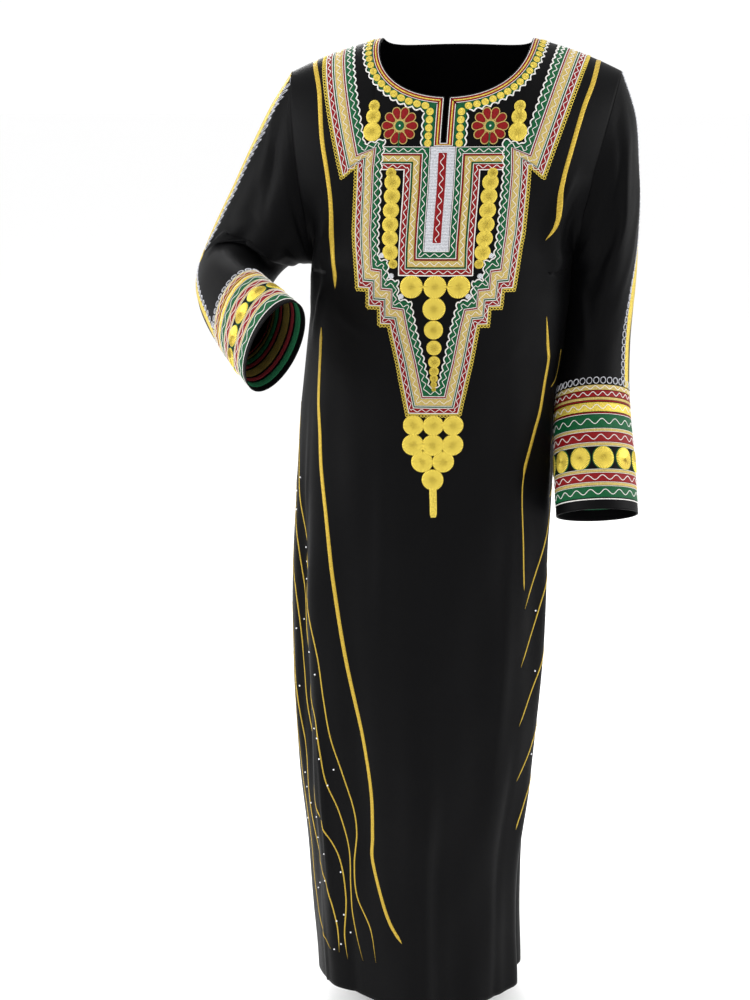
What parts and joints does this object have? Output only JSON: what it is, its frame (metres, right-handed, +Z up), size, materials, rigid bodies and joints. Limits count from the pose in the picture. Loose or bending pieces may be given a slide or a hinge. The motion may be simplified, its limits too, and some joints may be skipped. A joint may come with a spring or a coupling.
{
  "type": "jalabiya",
  "caption": "Black full-length jalabiya in worn form, with wide sleeves, a bent right arm, a round neck with a short slit and bands of gold, red, green and white embroidery",
  "frame": {"origin": "midway between the shoulders at the height of the neck points, where the wearer holds it", "axes": "+Z up, along the length of the robe; -Y the wearer's front; +X the wearer's left"},
  "size_m": [0.6031, 0.38, 1.4135],
  "materials": {
    "body_cloth": "matte",
    "sleeve_cloth": "matte"
  },
  "bodies": {
    "root": {"front": "body_cloth", "back": "body_cloth", "sleeve_right": "sleeve_cloth", "sleeve_left": "sleeve_cloth"}
  },
  "joints": []
}
